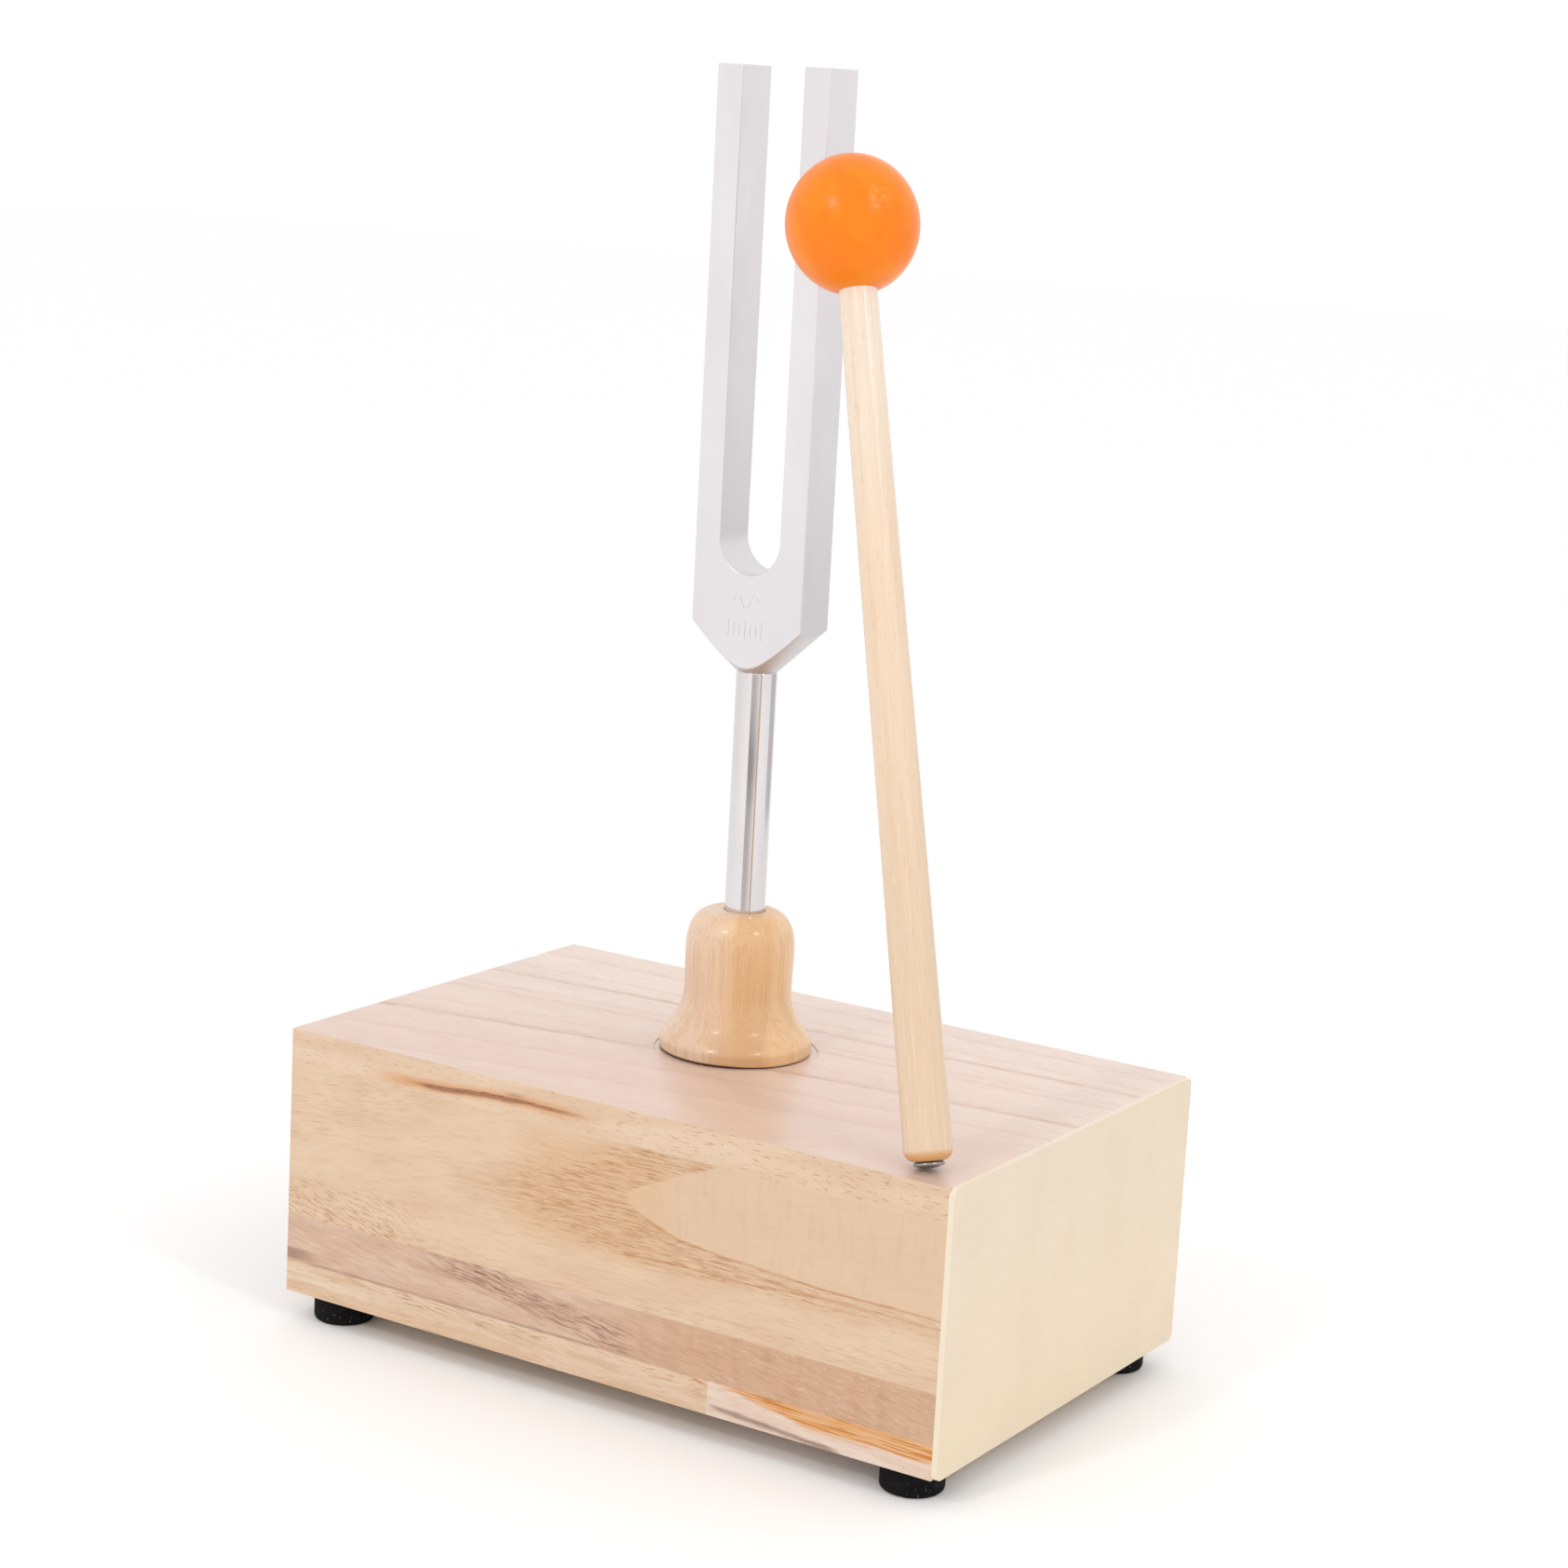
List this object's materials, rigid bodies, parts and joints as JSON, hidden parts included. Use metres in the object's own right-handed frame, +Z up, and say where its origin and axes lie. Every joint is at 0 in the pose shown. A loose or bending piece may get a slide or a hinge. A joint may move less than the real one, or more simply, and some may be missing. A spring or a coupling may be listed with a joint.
{
  "type": "tuning fork",
  "caption": "Tuning fork on a round stem, stood in a turned wooden bell on an open-ended resonance box, with a ball mallet leaning against a tine.",
  "frame": {"origin": "middle of the box's footprint, on the plane that the feet stand on", "axes": "+Z up along the stem and tines, +X along the length of the box and across the tines towards the closed end, +Y from the front of the box to its back"},
  "size_m": [0.15, 0.093, 0.2489],
  "materials": {
    "box_wood": "sanded, clear matt lacquer, edge-glued hardwood",
    "top_wood": "sanded, clear matt lacquer, pinkish beige",
    "red_wood": "sanded, clear matt lacquer, reddish brown stave",
    "pale_wood": "sanded, clear matt lacquer, pale stave",
    "panel_wood": "smooth pale veneer board",
    "bell_wood": "turned and gloss lacquered",
    "handle_wood": "turned birch, satin lacquer",
    "fork_aluminium": "satin, fine bead blast with bright edges",
    "stem_steel": "polished round rod",
    "screw_steel": "zinc plated",
    "tack_steel": "bright nickel",
    "foot_rubber": "matt black",
    "ball_plastic": "satin orange"
  },
  "bodies": {
    "box": {"top_board": "top_wood", "bottom_board": "box_wood", "bottom_strip_left": "pale_wood", "bottom_strip_right": "pale_wood", "front_main_stave": "box_wood", "front_lower_stave": "red_wood", "back_board": "box_wood", "end_panel": "panel_wood", "foot_1": "foot_rubber", "foot_2": "foot_rubber", "foot_3": "foot_rubber", "foot_4": "foot_rubber", "foot_screw_1": "screw_steel", "foot_screw_2": "screw_steel", "foot_screw_3": "screw_steel", "foot_screw_4": "screw_steel", "bell": "bell_wood", "bell_screw": "screw_steel"},
    "stem": {"stem": "stem_steel"},
    "fork_head": {"fork": "fork_aluminium"},
    "mallet": {"mallet_handle": "handle_wood", "mallet_ball": "ball_plastic", "mallet_tack": "tack_steel"}
  },
  "joints": [
    {"name": "fork_lift", "type": "slide", "parent": "box", "child": "stem", "axis": [0, 0, 1], "range_m": [0, 0.06]},
    {"name": "fork_turn", "type": "hinge", "parent": "stem", "child": "fork_head", "pos_m": [-0.0028, 0.0026, 0.135], "axis": [0, 0, 1], "continuous": true},
    {"name": "mallet_lift", "type": "slide", "parent": "box", "child": "mallet", "axis": [0, 0, 1], "range_m": [0, 0.2]}
  ]
}
